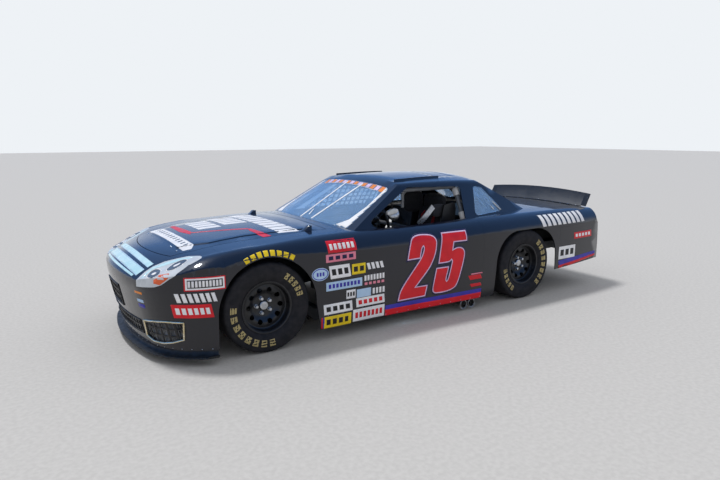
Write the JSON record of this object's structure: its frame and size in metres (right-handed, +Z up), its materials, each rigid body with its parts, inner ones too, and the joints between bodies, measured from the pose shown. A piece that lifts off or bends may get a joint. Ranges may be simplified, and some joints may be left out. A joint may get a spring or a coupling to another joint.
{
  "type": "stock car",
  "caption": "Oval-track stock car: sheet body over a tube chassis, with opening hood, deck lid and roof flaps, steered front wheels and free rolling wheels.",
  "frame": {"origin": "on the ground below the middle of the car's bounding box", "axes": "+X forward towards the nose, +Y to the driver's left, +Z up"},
  "size_m": [4.998, 1.9054, 1.264],
  "materials": {
    "body_paint": "gloss black paint",
    "black_trim": "satin black sheet",
    "window": "clear polycarbonate",
    "lamp": "clear film over a lamp panel",
    "chassis_paint": "satin dark paint",
    "cage_paint": "satin black paint",
    "seat_shell": "black covered alloy",
    "engine_metal": "bare casting",
    "pipe_steel": "bare steel tube",
    "cell_black": "black box",
    "net_web": "woven webbing",
    "grip": "padded grip",
    "tyre_rubber": "slick tyre",
    "wheel_paint": "black steel wheel"
  },
  "bodies": {
    "chassis": {"nose": "body_paint", "fender_left": "body_paint", "fender_right": "body_paint", "door_left": "body_paint", "door_right": "body_paint", "quarter_left": "body_paint", "quarter_right": "body_paint", "cowl": "body_paint", "rear_bumper": "body_paint", "roof": "body_paint", "air_dam": "black_trim", "grilles": "black_trim", "dashboard": "black_trim", "windshield": "window", "rear_window": "window", "quarter_windows": "window", "headlights": "lamp", "frame_rails": "chassis_paint", "floor_pan": "chassis_paint", "suspension": "chassis_paint", "rear_axle": "chassis_paint", "steering_column": "chassis_paint", "roll_cage": "cage_paint", "seat": "seat_shell", "engine": "engine_metal", "driveline": "engine_metal", "exhaust": "pipe_steel", "fuel_cell": "cell_black", "window_net": "net_web"},
    "hood": {"hood": "body_paint"},
    "deck_lid": {"deck_lid": "body_paint", "spoiler": "black_trim"},
    "roof_flap_left": {"roof_flap_left": "body_paint"},
    "roof_flap_right": {"roof_flap_right": "body_paint"},
    "steering_wheel": {"steering_wheel": "grip"},
    "knuckle_left": {"knuckle_left": "chassis_paint"},
    "knuckle_right": {"knuckle_right": "chassis_paint"},
    "wheel_front_left": {"tyre_front_left": "tyre_rubber", "rim_front_left": "wheel_paint"},
    "wheel_front_right": {"tyre_front_right": "tyre_rubber", "rim_front_right": "wheel_paint"},
    "wheel_rear_left": {"tyre_rear_left": "tyre_rubber", "rim_rear_left": "wheel_paint"},
    "wheel_rear_right": {"tyre_rear_right": "tyre_rubber", "rim_rear_right": "wheel_paint"}
  },
  "joints": [
    {"name": "hood_hinge", "type": "hinge", "parent": "chassis", "child": "hood", "pos_m": [0.907, 0, 0.89], "axis": [0, -1, 0], "range_deg": [0, 50]},
    {"name": "deck_lid_hinge", "type": "hinge", "parent": "chassis", "child": "deck_lid", "pos_m": [-1.625, 0, 0.896], "axis": [0, 1, 0], "range_deg": [0, 60]},
    {"name": "roof_flap_left_hinge", "type": "hinge", "parent": "chassis", "child": "roof_flap_left", "pos_m": [-0.457, 0.2, 1.268], "axis": [0, 1, 0], "range_deg": [0, 80]},
    {"name": "roof_flap_right_hinge", "type": "hinge", "parent": "chassis", "child": "roof_flap_right", "pos_m": [-0.457, -0.2, 1.268], "axis": [0, 1, 0], "range_deg": [0, 80]},
    {"name": "steer_left", "type": "hinge", "parent": "chassis", "child": "knuckle_left", "pos_m": [1.561, 0.69, 0.352], "axis": [0, 0, 1], "range_deg": [-20, 20]},
    {"name": "steer_right", "type": "hinge", "parent": "chassis", "child": "knuckle_right", "pos_m": [1.561, -0.69, 0.352], "axis": [0, 0, 1], "range_deg": [-20, 20]},
    {"name": "steering_wheel_turn", "type": "hinge", "parent": "chassis", "child": "steering_wheel", "pos_m": [0.231, 0.4, 0.87], "axis": [-0.9563, 0, 0.2924], "range_deg": [-240, 240]},
    {"name": "spin_front_left", "type": "hinge", "parent": "knuckle_left", "child": "wheel_front_left", "pos_m": [1.561, 0.7675, 0.352], "axis": [0, 1, 0], "continuous": true},
    {"name": "spin_rear_left", "type": "hinge", "parent": "chassis", "child": "wheel_rear_left", "pos_m": [-1.233, 0.7675, 0.352], "axis": [0, 1, 0], "continuous": true},
    {"name": "spin_front_right", "type": "hinge", "parent": "knuckle_right", "child": "wheel_front_right", "pos_m": [1.561, -0.7675, 0.352], "axis": [0, 1, 0], "continuous": true},
    {"name": "spin_rear_right", "type": "hinge", "parent": "chassis", "child": "wheel_rear_right", "pos_m": [-1.233, -0.7675, 0.352], "axis": [0, 1, 0], "continuous": true}
  ],
  "couplings": [
    {"joint": "steer_right", "follows": "steer_left", "ratio": 1},
    {"joint": "steering_wheel_turn", "follows": "steer_left", "ratio": 12}
  ]
}
